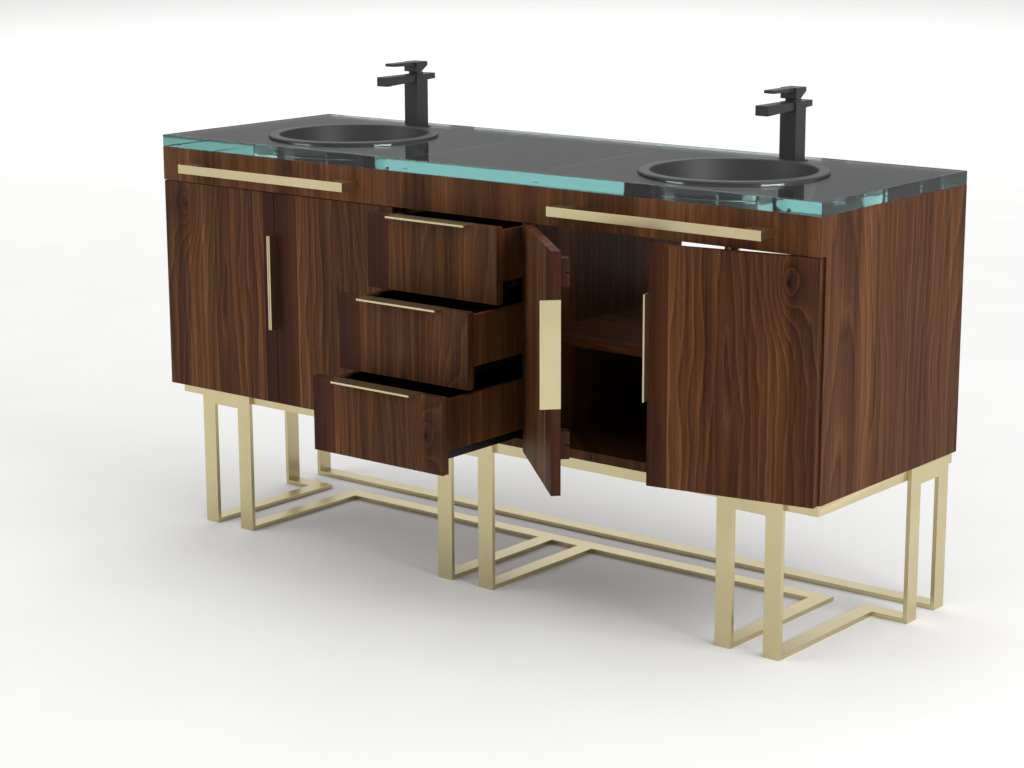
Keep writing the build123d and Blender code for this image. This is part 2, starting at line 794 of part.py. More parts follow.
make_uprights()
make_bottom_panel()
make_apron()
make_front_rails()
make_back()
make_shelves()
make_glass()
make_seals()
make_drains()
make_nuts()
make_towel_bars()
make_ring()
make_front_legs()
make_side_legs()
make_runners()
make_screws()
make_hinge_arms()
make_drawer_runners()
for basin_name, basin_side in (("left", -1), ("right", 1)):
    make_basin(basin_name, basin_side)
    make_stopper(basin_name, basin_side)
    make_faucet(basin_name, basin_side)
    make_neck(basin_name, basin_side)
    make_lever(basin_name, basin_side)
for door_name in door_angles:
    make_door(door_name)
for drawer_index, drawer_name in enumerate(drawer_open):
    make_drawer(drawer_name, drawer_index)
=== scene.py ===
# %% [markdown]
# # A double vanity in walnut, float glass and satin brass
# This notebook dresses a finished design. The design gives every part its size, its place and its
# motion, and it is loaded first as a fixed frame. What is modelled here stands exactly where the
# frame says, so nothing has to be fitted by eye. Lengths are in metres.

# %% Load the frame
import json
from math import cos, pi, radians, sin, tan
import bpy
from mathutils import Matrix, Vector

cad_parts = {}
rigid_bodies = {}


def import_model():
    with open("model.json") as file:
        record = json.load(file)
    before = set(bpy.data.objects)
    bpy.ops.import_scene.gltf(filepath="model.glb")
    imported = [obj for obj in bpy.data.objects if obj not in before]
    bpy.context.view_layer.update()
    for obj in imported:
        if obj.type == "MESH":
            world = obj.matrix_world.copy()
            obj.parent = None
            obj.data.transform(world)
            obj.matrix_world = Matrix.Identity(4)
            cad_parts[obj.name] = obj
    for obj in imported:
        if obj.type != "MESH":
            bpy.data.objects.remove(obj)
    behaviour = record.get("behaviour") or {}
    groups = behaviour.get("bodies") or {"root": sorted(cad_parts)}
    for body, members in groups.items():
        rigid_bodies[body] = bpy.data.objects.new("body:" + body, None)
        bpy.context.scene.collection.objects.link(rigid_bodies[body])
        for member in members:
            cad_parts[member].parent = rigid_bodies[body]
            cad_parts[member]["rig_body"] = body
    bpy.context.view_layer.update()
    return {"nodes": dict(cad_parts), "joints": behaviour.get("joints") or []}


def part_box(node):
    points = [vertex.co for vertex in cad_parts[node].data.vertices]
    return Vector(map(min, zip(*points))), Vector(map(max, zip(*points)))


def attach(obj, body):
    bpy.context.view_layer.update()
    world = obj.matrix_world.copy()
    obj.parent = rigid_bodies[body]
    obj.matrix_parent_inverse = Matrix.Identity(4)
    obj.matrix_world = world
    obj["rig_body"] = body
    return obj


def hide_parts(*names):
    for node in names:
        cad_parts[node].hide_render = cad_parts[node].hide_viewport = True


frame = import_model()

MM = 0.001

# %% [markdown]
# ## Camera
# The camera is a real one on a tripod: a place in the room, a direction, and a long lens, which
# keeps the cabinet's upright edges nearly parallel. Its axes are worked out from how far it is
# turned round the cabinet and how far it looks down.

# %% The camera
camera_place = Vector((3.1503, -4.1102, 1.5597))
camera_turn = radians(38.948)
camera_drop = radians(12.795)
camera_roll = radians(-0.185)
back = Vector((sin(camera_turn) * cos(camera_drop), -cos(camera_turn) * cos(camera_drop),
               sin(camera_drop)))
level = Vector((cos(camera_turn), sin(camera_turn), 0))
over = back.cross(level)
right = cos(camera_roll) * level + sin(camera_roll) * over
up = back.cross(right)
camera = bpy.data.objects.new("camera", bpy.data.cameras.new("camera"))
bpy.context.scene.collection.objects.link(camera)
camera_axes = Matrix((right, up, back)).transposed().to_4x4()
camera.matrix_world = Matrix.Translation(camera_place) @ camera_axes
camera.data.sensor_width = 36.0
camera.data.lens = 81.39
bpy.context.scene.camera = camera
print("camera at", [round(v, 3) for v in camera_place], "lens", camera.data.lens, "mm")

# %% [markdown]
# ## Modelling helpers
# Every piece below is made the way a modeller works by hand: a primitive is set at its size and
# place, opened for editing, and then cut, extruded, inset, spun or drilled. A few short helpers
# keep those steps readable. Everything is deselected first, because an operator acts on all that
# is selected, and a freshly loaded frame is selected.

# %% Helpers: start, edit and settle a piece
def activate(piece):
    """Selects one object and nothing else."""
    if bpy.context.object and bpy.context.object.mode != "OBJECT":
        bpy.ops.object.mode_set(mode="OBJECT")
    bpy.ops.object.select_all(action="DESELECT")
    piece.select_set(True)
    bpy.context.view_layer.objects.active = piece


def settle(piece, name):
    """Names a new primitive, and puts its place, turn and size into its mesh."""
    piece.name = name
    activate(piece)
    bpy.ops.object.transform_apply(location=True, rotation=True, scale=True)
    return piece


def cube(name, low, high):
    """A box primitive between two corners."""
    low, high = Vector(low), Vector(high)
    bpy.ops.object.select_all(action="DESELECT")
    bpy.ops.mesh.primitive_cube_add(size=1, location=(low + high) / 2)
    piece = bpy.context.object
    piece.scale = high - low
    return settle(piece, name)


def rod(name, start, end, radius, sides=64):
    """A cylinder primitive from one point to another."""
    start, end = Vector(start), Vector(end)
    turn = (end - start).to_track_quat("Z", "Y").to_euler()
    bpy.ops.object.select_all(action="DESELECT")
    bpy.ops.mesh.primitive_cylinder_add(vertices=sides, radius=radius, depth=(end - start).length,
                                        location=(start + end) / 2, rotation=turn)
    return settle(bpy.context.object, name)


def pick_faces(piece, rule):
    """Opens a piece for editing with only the faces that pass rule(centre, normal) selected."""
    activate(piece)
    bpy.context.tool_settings.mesh_select_mode = (False, False, True)
    mesh = piece.data
    mesh.vertices.foreach_set("select", [False] * len(mesh.vertices))
    mesh.edges.foreach_set("select", [False] * len(mesh.edges))
    mesh.polygons.foreach_set("select", [bool(rule(f.center, f.normal)) for f in mesh.polygons])
    bpy.ops.object.mode_set(mode="EDIT")


def pick_points(piece, rule):
    """Opens a piece for editing with only the points that pass rule(place) selected."""
    activate(piece)
    bpy.context.tool_settings.mesh_select_mode = (True, False, False)
    mesh = piece.data
    mesh.polygons.foreach_set("select", [False] * len(mesh.polygons))
    mesh.edges.foreach_set("select", [False] * len(mesh.edges))
    mesh.vertices.foreach_set("select", [bool(rule(v.co)) for v in mesh.vertices])
    bpy.ops.object.mode_set(mode="EDIT")


def pick_all(piece):
    """Opens a piece for editing with all of it selected."""
    activate(piece)
    bpy.ops.object.mode_set(mode="EDIT")
    bpy.ops.mesh.select_all(action="SELECT")


def close(piece):
    """Ends editing."""
    bpy.ops.object.mode_set(mode="OBJECT")
    return piece


def extrude(step):
    """Pulls the selected faces out by a step, with walls behind them."""
    bpy.ops.mesh.extrude_region_move(TRANSFORM_OT_translate={"value": tuple(step)})


def divide(piece, place, normal):
    """Cuts new edges all round a piece along a plane, and keeps both halves."""
    pick_all(piece)
    bpy.ops.mesh.bisect(plane_co=tuple(place), plane_no=tuple(normal))
    return close(piece)


print("helpers ready: cube, rod, pick_faces, pick_points, extrude, divide")

# %% [markdown]
# Two more steps come back often. Real edges are never razor sharp: a cabinet maker breaks them
# with fine paper and a metal worker with a file, and that thin rounding is what catches the
# light. And two shapes that are one piece of material in reality are united, or one is drilled
# out of the other, with a boolean.

# %% Helpers: ease edges, unite, drill, join and copy
def ease(piece, width, segments=2):
    """Rounds a piece's sharp edges, and keeps its flat faces flat in the shading."""
    activate(piece)
    bpy.ops.object.shade_smooth()
    bpy.ops.object.modifier_add(type="BEVEL")
    bevel = piece.modifiers[-1]
    bevel.width = width
    bevel.segments = segments
    bevel.limit_method = "ANGLE"
    bevel.angle_limit = radians(30)
    bevel.harden_normals = True
    bpy.ops.object.modifier_apply(modifier=bevel.name)
    return piece


def combine(piece, other, operation):
    """Unites another shape with a piece, or cuts it away, and removes the other shape."""
    activate(piece)
    bpy.ops.object.modifier_add(type="BOOLEAN")
    boolean = piece.modifiers[-1]
    boolean.operation = operation
    boolean.solver = "EXACT"
    boolean.object = other
    bpy.ops.object.modifier_apply(modifier=boolean.name)
    bpy.data.objects.remove(other)
    return piece


def join(name, pieces):
    """Makes several shapes one object."""
    activate(pieces[0])
    for piece in pieces:
        piece.select_set(True)
    bpy.ops.object.join()
    pieces[0].name = name
    return pieces[0]


def twin(piece, name, step):
    """A copy with its own mesh, moved by a step."""
    copy = bpy.data.objects.new(name, piece.data.copy())
    bpy.context.scene.collection.objects.link(copy)
    copy.data.transform(Matrix.Translation(Vector(step)))
    return copy


def finish(piece, material, node):
    """Gives a piece its material and the body of the frame node that it stands for, and hides that
    node.
    """
    piece.data.materials.clear()
    piece.data.materials.append(material)
    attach(piece, frame["nodes"][node]["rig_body"])
    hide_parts(node)
    return piece


def soften(node, material, width=0.3 * MM, segments=2):
    """A copy of a frame node: its loose triangles merged into flat faces, its edges eased."""
    piece = bpy.data.objects.new(node + "_shown", frame["nodes"][node].data.copy())
    bpy.context.scene.collection.objects.link(piece)
    activate(piece)
    bpy.ops.mesh.customdata_custom_splitnormals_clear()
    pick_all(piece)
    bpy.ops.mesh.remove_doubles(threshold=0.001 * MM)
    bpy.ops.mesh.dissolve_limited(angle_limit=radians(0.5))
    close(piece)
    return finish(ease(piece, width, segments), material, node)


def middle(node):
    """The middle of a frame node's box."""
    low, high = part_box(node)
    return (low + high) / 2


print("helpers ready: ease, combine, join, twin, finish, soften")

# %% [markdown]
# ## Materials
# A material is a small graph of nodes. One function adds a node, sets it and links it. A value
# that is itself a node is linked by its first output. Another function adds a step of
# arithmetic. Colours are written as they look on a screen and are turned into linear light here.

# %% Helpers: colours, nodes and a new material
def linear(hex_code):
    """A screen colour such as #8A5F42 as linear red, green, blue and alpha."""
    channels = [int(hex_code[i:i + 2], 16) / 255 for i in (1, 3, 5)]
    return [c / 12.92 if c <= 0.04045 else ((c + 0.055) / 1.055) ** 2.4 for c in channels] + [1.0]


def add(tree, kind, inputs=None, stops=None, **settings):
    """Adds a shader node with its settings, links and colour stops."""
    made = tree.nodes.new("ShaderNode" + kind)
    for key, value in settings.items():
        setattr(made, key, value)
    for key, value in (inputs or {}).items():
        if isinstance(value, bpy.types.Node):
            value = value.outputs[0]
        if isinstance(value, bpy.types.NodeSocket):
            tree.links.new(value, made.inputs[key])
        else:
            made.inputs[key].default_value = value
    for index, (place, hex_code) in enumerate(stops or []):
        ramp = made.color_ramp.elements
        stop = ramp[index] if index < 2 else ramp.new(place)
        stop.position = place
        stop.color = linear(hex_code)
    return made


def calc(tree, operation, *values):
    """A node of arithmetic on up to three values, each a number or another node's result."""
    return add(tree, "Math", dict(enumerate(values)), operation=operation)


def new_material(name):
    """An empty material: its tree, its shader and its object coordinates."""
    material = bpy.data.materials.new(name)
    material.use_nodes = True
    tree = material.node_tree
    tree.nodes.clear()
    shader = add(tree, "BsdfPrincipled")
    add(tree, "OutputMaterial", {"Surface": shader})
    place = add(tree, "TexCoord").outputs["Object"]
    return material, tree, shader, place


def grey(value):
    """The screen grey that turns into a given number, for ramps that carry a number."""
    shown = 12.92 * value if value <= 0.0031308 else 1.055 * value ** (1 / 2.4) - 0.055
    return "#" + f"{round(255 * shown):02X}" * 3


print("material helpers ready")

# %% [markdown]
# ### Oiled walnut veneer
# The body is faced with crown-cut black walnut, book-matched: each leaf is opened out like a
# page, so the figure runs both ways from a middle line. Along that line lies a plain, redder
# strip of straight grain. On each side of it come pale streaks, then a column of long dark
# islands, then bright lines that sweep round a knot. The figure is what a saw shows of the yearly
# rings where it passes close to the tree's heart, so it is made the same way: rings round a
# heart that leans a little through the board. The fine streaks and the pores are noise,
# stretched along the grain. Oil fills the pores only partly, so the shine is low and broad.

# %% The walnut's measures and colours
leaf_width = 0.42
strip_half = 0.0525
ring_spacing = 21 * MM
island_offset = 0.122
island_height = 0.60
island_lean = 0.085
knot_offset = 0.252
knot_height = 0.772
wood_stops = [(0.0, "#1A0B06"), (0.25, "#30190D"), (0.45, "#452815"), (0.60, "#55341C"),
              (0.78, "#6A4427"), (1.0, "#855B38")]
strip_red = "#3E1B13"
knot_black = "#0D0908"
# painted shade: the dark brown that boards deep inside the body are mixed towards
inside_shade_brown = "#0E0603"

# Noise is drawn out along the grain by shrinking the upright measure, and each kind of noise is
# read at its own depth, so that no two of them line up.
drift_stretch, long_stretch, pore_stretch = 0.30, 0.020, 0.07
drift_depth, long_depth, pore_depth = 0.37, 0.11, 0.71
drift_scale, band_scale, streak_scale, pore_scale = 9.0, 24.0, 150.0, 620.0
drift_reach, band_bend = 0.085, 0.022
knot_half_width, knot_half_height = 10 * MM, 19 * MM
knot_fading, knot_push, knot_shade = -0.22, 0.11, -0.22
ring_middle, strip_tone = 0.42, 0.36
ring_weight, band_weight, streak_weight, pore_weight = 0.47, 0.74, 0.62, 0.26
strip_redness = 0.35


# %% Helper: the walnut material
def walnut(name, turn=(0, 0, 0), shift=(0, 0, 0), figure=1.0, depth=1.0, strip=True, lift=0.0):
    """Walnut with upright grain. turn and shift lay the leaf on a piece, figure is the strength of
    the rings, depth below 1 mixes in a painted shade for boards deep inside the body, strip adds
    the plain red strip, and lift makes the whole leaf lighter."""
    material, tree, shader, place = new_material(name)
    laid = add(tree, "Mapping", {"Vector": place, "Location": shift, "Rotation": turn})
    axes = add(tree, "SeparateXYZ", {0: laid})
    along = axes.outputs["Z"]
    across = calc(tree, "ADD", axes.outputs["X"], axes.outputs["Y"])
    page = calc(tree, "PINGPONG", across, leaf_width)
    leaf = calc(tree, "ADD", page, -strip_half)

    slow = calc(tree, "MULTIPLY", along, drift_stretch)
    slow_place = add(tree, "CombineXYZ", {0: leaf, 1: slow, 2: drift_depth})
    drift = add(tree, "TexNoise", {"Vector": slow_place, "Scale": drift_scale, "Detail": 2.0})
    long = calc(tree, "MULTIPLY", along, long_stretch)
    long_place = add(tree, "CombineXYZ", {0: across, 1: long, 2: long_depth})
    streaks = add(tree, "TexNoise", {"Vector": long_place, "Scale": streak_scale, "Detail": 4.0})
    bands = add(tree, "TexNoise", {"Vector": long_place, "Scale": band_scale, "Detail": 3.0})
    short = calc(tree, "MULTIPLY", along, pore_stretch)
    short_place = add(tree, "CombineXYZ", {0: across, 1: short, 2: pore_depth})
    pores = add(tree, "TexNoise", {"Vector": short_place, "Scale": pore_scale, "Detail": 2.0})

    # the knot: how near a point is to it, as a long oval with a ragged edge
    knot_x = calc(tree, "ADD", leaf, -knot_offset)
    knot_z = calc(tree, "ADD", along, -knot_height)
    knot_x = calc(tree, "MULTIPLY", knot_x, 1 / knot_half_width)
    knot_z = calc(tree, "MULTIPLY", knot_z, 1 / knot_half_height)
    knot_square = calc(tree, "MULTIPLY", knot_x, knot_x)
    knot_square = calc(tree, "MULTIPLY_ADD", knot_z, knot_z, knot_square)
    knot_far = calc(tree, "POWER", knot_square, 0.5)
    knot_fade = calc(tree, "MULTIPLY", knot_far, knot_fading)
    knot_near = calc(tree, "EXPONENT", knot_fade)

    # the rings: how far a point is from the leaning heart, bent by drift and by the knot
    side = calc(tree, "ADD", leaf, -island_offset)
    side = calc(tree, "MULTIPLY_ADD", drift, drift_reach, side)
    side = calc(tree, "ADD", side, -drift_reach / 2)
    lean = calc(tree, "ADD", along, -island_height)
    lean = calc(tree, "MULTIPLY", lean, island_lean)
    side_square = calc(tree, "MULTIPLY", side, side)
    square = calc(tree, "MULTIPLY_ADD", lean, lean, side_square)
    radius = calc(tree, "POWER", square, 0.5)
    bent = calc(tree, "MULTIPLY_ADD", knot_near, knot_push, radius)
    bent = calc(tree, "MULTIPLY_ADD", bands, band_bend, bent)
    count = calc(tree, "MULTIPLY", bent, 1 / ring_spacing)
    ring = calc(tree, "FRACT", count)
    ring_stops = [(0.0, grey(0.45)), (0.12, grey(0.80)), (0.24, grey(0.55)), (0.60, grey(0.42)),
                  (0.82, grey(0.36)), (0.91, grey(0.14)), (0.96, grey(0.22)), (1.0, grey(0.45))]
    ring_tone = add(tree, "ValToRGB", {0: ring}, stops=ring_stops)

    # how light each part of the leaf is, outwards from the joint beside the strip
    share = calc(tree, "MULTIPLY", leaf, 1 / leaf_width)
    zone_stops = [(0.0, grey(0.66)), (0.05, grey(0.62)), (0.08, grey(0.50)), (0.13, grey(0.56)),
                  (0.22, grey(0.46)), (0.32, grey(0.42)), (0.40, grey(0.48)), (0.47, grey(0.60)),
                  (0.58, grey(0.54)), (0.75, grey(0.47)), (1.0, grey(0.50))]
    zone = add(tree, "ValToRGB", {0: share}, stops=zone_stops)
    tone = calc(tree, "ADD", ring_tone, lift - ring_middle)
    tone = calc(tree, "MULTIPLY_ADD", tone, ring_weight * figure, zone)
    tone = calc(tree, "MULTIPLY_ADD", knot_near, knot_shade, tone)
    in_strip = calc(tree, "LESS_THAN", leaf, 0.0 if strip else -1.0)
    plain = add(tree, "Mix", {0: in_strip, 2: tone, 3: strip_tone})
    band_tone = calc(tree, "ADD", bands, -0.5)
    tone = calc(tree, "MULTIPLY_ADD", band_tone, band_weight, plain)
    streak_tone = calc(tree, "ADD", streaks, -0.5)
    tone = calc(tree, "MULTIPLY_ADD", streak_tone, streak_weight, tone)
    pore_tone = calc(tree, "ADD", pores, -0.5)
    tone = calc(tree, "MULTIPLY_ADD", pore_tone, pore_weight, tone)
    wood = add(tree, "ValToRGB", {0: tone}, stops=wood_stops)

    # the plain strip is redder than the rest, and a knot's heart is nearly black
    red_share = calc(tree, "MULTIPLY", in_strip, strip_redness)
    coloured = add(tree, "Mix", {0: red_share, 6: wood, 7: linear(strip_red)}, data_type="RGBA")
    ragged = calc(tree, "MULTIPLY_ADD", streaks, 0.9, knot_far)
    heart = add(tree, "ValToRGB", {0: ragged}, stops=[(0.75, grey(0.9)), (1.0, grey(0.0))])
    knotted = add(tree, "Mix", {0: heart, 6: coloured.outputs[2], 7: linear(knot_black)},
                  data_type="RGBA")
    # painted shade: boards deep inside the body get 1 - depth of the dark brown mixed in
    shaded_inside = add(tree, "Mix", {0: 1 - depth, 6: knotted.outputs[2], 7: linear(inside_shade_brown)},
               data_type="RGBA")
    tree.links.new(shaded_inside.outputs[2], shader.inputs["Base Color"])

    sheen = add(tree, "MapRange", {"Value": pores, "To Min": 0.44, "To Max": 0.60})
    tree.links.new(sheen.outputs[0], shader.inputs["Roughness"])
    relief = calc(tree, "MULTIPLY_ADD", streaks, 0.5, pores)
    bump = add(tree, "Bump", {"Height": relief, "Strength": 0.30, "Distance": 0.06 * MM})
    tree.links.new(bump.outputs[0], shader.inputs["Normal"])
    shader.inputs["Specular IOR Level"].default_value = 0.10
    return material


print("walnut: leaf", leaf_width, "m wide, rings", round(ring_spacing / MM), "mm apart")

# %% [markdown]
# The fronts of a run are cut from one pair of leaves, so that the figure runs on from door to
# door, and the red strip lies where two doors meet. A door that stands open at rest is turned
# back to its closed place by its material's Mapping node, so the grain stays with the door. The
# pattern's sideways measure is X plus Y, counted here from the middle line of a pair of leaves.

# %% Walnut for each run of panels
joints = {joint["name"]: joint for joint in frame["joints"]}
front_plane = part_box("apron")[0].y


def laid_at(middle_line, plane=front_plane, height=0.0):
    """The shift that puts the leaves' middle line at an X on a front whose face is at plane."""
    return Vector((-middle_line - plane, 0, height))


def closed_again(joint_name, shift):
    """The turn and shift that carry an open door's grain back to the closed door."""
    joint = joints[joint_name]
    closing = joint["axis"][2] * radians(joint["range_deg"][0])
    line = Vector(joint["pos_m"])
    turned = Matrix.Rotation(closing, 3, "Z") @ line
    return (0, 0, closing), line - turned + shift


wood_left = walnut("walnut_left_doors", shift=laid_at(-0.5235))
wood_apron = walnut("walnut_apron", shift=laid_at(-0.30, height=1.3), figure=0.35, strip=False,
                    lift=0.6)
turn, shift = closed_again("door_right_inner_hinge", laid_at(0.5325))
wood_inner_door = walnut("walnut_inner_door", turn, shift)
turn, shift = closed_again("door_right_outer_hinge", laid_at(0.5325))
wood_outer_door = walnut("walnut_outer_door", turn, shift)
drawer_woods = {name: walnut(f"walnut_{name}_drawer", figure=0.8, shift=laid_at(
    -0.1705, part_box(f"drawer_{name}_front")[0].y, 0.36)) for name in ("top", "middle", "bottom")}
wood_sides = walnut("walnut_sides", shift=(-0.36, -0.05, 0.75), figure=0.8, strip=False)
# depth 0.96 paints a little shade onto the boards inside the body and onto the shelves
wood_inside = walnut("walnut_inside", shift=(0.21, 0.13, 0.9), figure=0.25, depth=0.96, strip=False)
wood_level = walnut("walnut_level", turn=(0, -pi / 2, 0), shift=(0.13, 0.07, 0.2), figure=0.5,
                    depth=0.96, strip=False)
print("walnut laid out:", sum(m.name.startswith("walnut") for m in bpy.data.materials), "runs")

# %% [markdown]
# ### Satin brass
# The base, the pulls and the towel bars are pale brass, brushed to a satin and left with a clear
# lacquer. A metal's colour is the colour of its reflection, and the fine scratches blur it. The
# brushing is too fine to see from a few steps away, so it is drawn as faint clouds of 2 mm with
# a slow change in tone from handling.

# %% The metals
def metal(name, tones, roughness, grit, spread):
    """A metal surface: two tones that drift into each other, and fine scratches of a given size."""
    material, tree, shader, place = new_material(name)
    clouds = add(tree, "TexNoise", {"Vector": place, "Scale": 9.0, "Detail": 3.0})
    colour = add(tree, "ValToRGB", {0: clouds}, stops=[(0.32, tones[0]), (0.68, tones[1])])
    tree.links.new(colour.outputs[0], shader.inputs["Base Color"])
    scratches = add(tree, "TexNoise", {"Vector": place, "Scale": 1 / grit, "Detail": 3.0})
    blur = add(tree, "MapRange", {"Value": scratches, "To Min": roughness - spread,
                                  "To Max": roughness + spread})
    tree.links.new(blur.outputs[0], shader.inputs["Roughness"])
    bump = add(tree, "Bump", {"Height": scratches, "Strength": 0.25, "Distance": 0.02 * MM})
    tree.links.new(bump.outputs[0], shader.inputs["Normal"])
    shader.inputs["Metallic"].default_value = 1.0
    return material


satin_brass = metal("satin_brass", ("#CABC92", "#D0C49C"), 0.30, 2 * MM, 0.05)
machined_brass = metal("machined_brass", ("#C4A768", "#D0B478"), 0.34, 1 * MM, 0.06)
nickel = metal("nickel_plate", ("#B5B1A8", "#C4C0B8"), 0.27, 1 * MM, 0.05)
blackened_steel = metal("blackened_steel", ("#2E2E30", "#39393B"), 0.42, 1 * MM, 0.05)
print("metals:", satin_brass.name, machined_brass.name, nickel.name, blackened_steel.name)

# %% [markdown]
# ### Black finishes
# The faucets are powder coated: a thin baked skin with a fine orange peel and a soft shine. The
# basins are a cast mineral composite, a touch greyer and drier, with the faint grain of their
# quartz filler. The drawers are lined with black felt, which gives back almost no light.

# %% The black materials
def black(name, tones, grain, roughness, relief, specular):
    """A near-black surface with a fine grain in its tone, its shine and its relief."""
    material, tree, shader, place = new_material(name)
    grit = add(tree, "TexNoise", {"Vector": place, "Scale": 1 / grain, "Detail": 2.0})
    colour = add(tree, "ValToRGB", {0: grit}, stops=[(0.35, tones[0]), (0.65, tones[1])])
    tree.links.new(colour.outputs[0], shader.inputs["Base Color"])
    shine = add(tree, "MapRange", {"Value": grit, "To Min": roughness - 0.04,
                                   "To Max": roughness + 0.04})
    tree.links.new(shine.outputs[0], shader.inputs["Roughness"])
    bump = add(tree, "Bump", {"Height": grit, "Strength": 0.3, "Distance": relief})
    tree.links.new(bump.outputs[0], shader.inputs["Normal"])
    shader.inputs["Specular IOR Level"].default_value = specular
    return material


powder_coat = black("black_powder_coat", ("#2A2A2B", "#2F2F30"), 1.6 * MM, 0.46, 0.015 * MM, 0.42)
composite = black("black_mineral_composite", ("#303031", "#363637"), 1.1 * MM, 0.50, 0.02 * MM,
                  0.45)
felt = black("black_felt_lining", ("#050506", "#0A0A0B"), 1.5 * MM, 0.92, 0.2 * MM, 0.1)
print("blacks:", powder_coat.name, composite.name, felt.name)

# %% [markdown]
# ### Float glass and clear silicone
# Clear float glass is only clear through its face. Iron in the sand takes red out of the light,
# so along its length it is a deep sea green. That is absorption, and it belongs to the volume
# rather than the surface: the further a ray runs inside, the greener it gets. The faces are
# flame-smooth, with a wave so long and low that it only softens reflections a little. The edges
# were ground with a wheel before they were polished, and keep a fine ripple that sparkles.

# %% The glass and the silicone
wave_scale, grit_size, grit_weight = 14.0, 2.2 * MM, 1.6
sea_green, green_density = "#65CDCB", 3.0


def float_glass(name):
    """Thick clear float glass with polished edges."""
    material, tree, shader, place = new_material(name)
    shader.inputs["Base Color"].default_value = linear("#FBFFFE")
    shader.inputs["Transmission Weight"].default_value = 1.0
    shader.inputs["Roughness"].default_value = 0.0
    shader.inputs["IOR"].default_value = 1.5
    wave = add(tree, "TexNoise", {"Vector": place, "Scale": wave_scale, "Detail": 1.0})
    grit = add(tree, "TexNoise", {"Vector": place, "Scale": 1 / grit_size, "Detail": 2.0})
    face = add(tree, "SeparateXYZ", {0: add(tree, "NewGeometry").outputs["True Normal"]})
    level = calc(tree, "ABSOLUTE", face.outputs["Z"])
    upright = calc(tree, "LESS_THAN", level, 0.3)
    ground = calc(tree, "MULTIPLY", grit, upright)
    height = calc(tree, "MULTIPLY_ADD", ground, grit_weight, wave)
    bump = add(tree, "Bump", {"Height": height, "Strength": 0.5, "Distance": 0.02 * MM})
    tree.links.new(bump.outputs[0], shader.inputs["Normal"])
    green = add(tree, "VolumeAbsorption", {"Color": linear(sea_green), "Density": green_density})
    output = [n for n in tree.nodes if n.type == "OUTPUT_MATERIAL"][0]
    tree.links.new(green.outputs[0], output.inputs["Volume"])
    return material


def silicone(name):
    """Soft clear silicone, milky with fine bubbles."""
    material, tree, shader, place = new_material(name)
    haze = add(tree, "TexNoise", {"Vector": place, "Scale": 1 / (3 * MM), "Detail": 2.0})
    colour = add(tree, "ValToRGB", {0: haze}, stops=[(0.3, "#8E9695"), (0.7, "#A3ABA9")])
    tree.links.new(colour.outputs[0], shader.inputs["Base Color"])
    shader.inputs["Roughness"].default_value = 0.38
    shader.inputs["Transmission Weight"].default_value = 0.5
    return material


glass = float_glass("clear_float_glass")
clear_silicone = silicone("clear_silicone")
print("clear materials:", glass.name, clear_silicone.name)

# %% [markdown]
# ## The glass top
# The top is one slab with four holes: two large ones that the basins hang in and two small ones
# for the faucets. A slab of glass is cut, drilled and then ground and polished along its edges,
# and the mesh is made in that order: a cube, four cylinders cut away, and a narrow bevel.

# %% The glass slab
bowl_hole = 185 * MM
faucet_hole = 17.5 * MM
polished_edge = 1.2 * MM
low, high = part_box("glass_top")
slab = cube("glass_slab", low, high)
for side in ("left", "right"):
    for node, radius in ((f"basin_{side}", bowl_hole), (f"faucet_{side}_neck", faucet_hole)):
        spot = middle(node)
        hole = rod("hole", (spot.x, spot.y, low.z - MM), (spot.x, spot.y, high.z + MM), radius,
                   128)
        combine(slab, hole, "DIFFERENCE")
ease(slab, polished_edge, 2)
finish(slab, glass, "glass_top")
print("glass slab:", len(slab.data.polygons), "faces,", round((high.z - low.z) / MM), "mm thick")

# %% [markdown]
# ## Turned shapes
# Basins, drains, stoppers and necks are round about an upright line. Half of their section is
# drawn as a chain of points, one extrusion at a time, and then spun round. A corner that is
# rounded in the real piece is rounded in the section.

# %% Helpers: a rounded section and the lathe
def rounded(corners, steps=8):
    """A section's points from its corners, each (radius, height) or (radius, height, rounding)."""
    points = []
    for index, corner in enumerate(corners):
        place = Vector(corner[:2])
        if len(corner) == 2:
            points.append(place)
            continue
        before = (Vector(corners[index - 1][:2]) - place).normalized()
        after = (Vector(corners[(index + 1) % len(corners)][:2]) - place).normalized()
        half = before.angle(after) / 2
        centre = place + (before + after).normalized() * corner[2] / sin(half)
        start = place + before * corner[2] / tan(half) - centre
        end = place + after * corner[2] / tan(half) - centre
        for step in range(steps + 1):
            points.append(centre + start.lerp(end, step / steps).normalized() * corner[2])
    return points


def lathe(name, spot, corners, steps=96, closed=False):
    """Draws a section beside an upright line through spot and spins it round that line."""
    points = rounded(corners)
    places = [Vector((spot.x + p.x, spot.y, p.y)) for p in points + points[:1] * closed]
    bpy.ops.object.select_all(action="DESELECT")
    bpy.ops.mesh.primitive_plane_add(size=MM, location=places[0])
    piece = settle(bpy.context.object, name)
    bpy.context.tool_settings.mesh_select_mode = (True, False, False)
    pick_all(piece)
    bpy.ops.mesh.merge(type="CENTER")
    for here, there in zip(places, places[1:]):
        extrude(there - here)
    bpy.ops.mesh.select_all(action="SELECT")
    bpy.ops.mesh.spin(steps=steps, angle=2 * pi, center=(spot.x, spot.y, 0), axis=(0, 0, 1))
    bpy.ops.mesh.select_all(action="SELECT")
    bpy.ops.mesh.remove_doubles(threshold=0.002 * MM)
    bpy.ops.mesh.normals_make_consistent(inside=False)
    close(piece)
    bpy.ops.object.shade_smooth_by_angle(angle=radians(30))
    return piece


print("helpers ready: rounded, lathe")

# %% [markdown]
# ## The basins
# Each basin is cast in one piece: a bowl with a generous corner between wall and floor, and a
# thin flat rim that covers the hole in the glass and carries the weight. The floor falls to the
# drain so that the last water runs out.

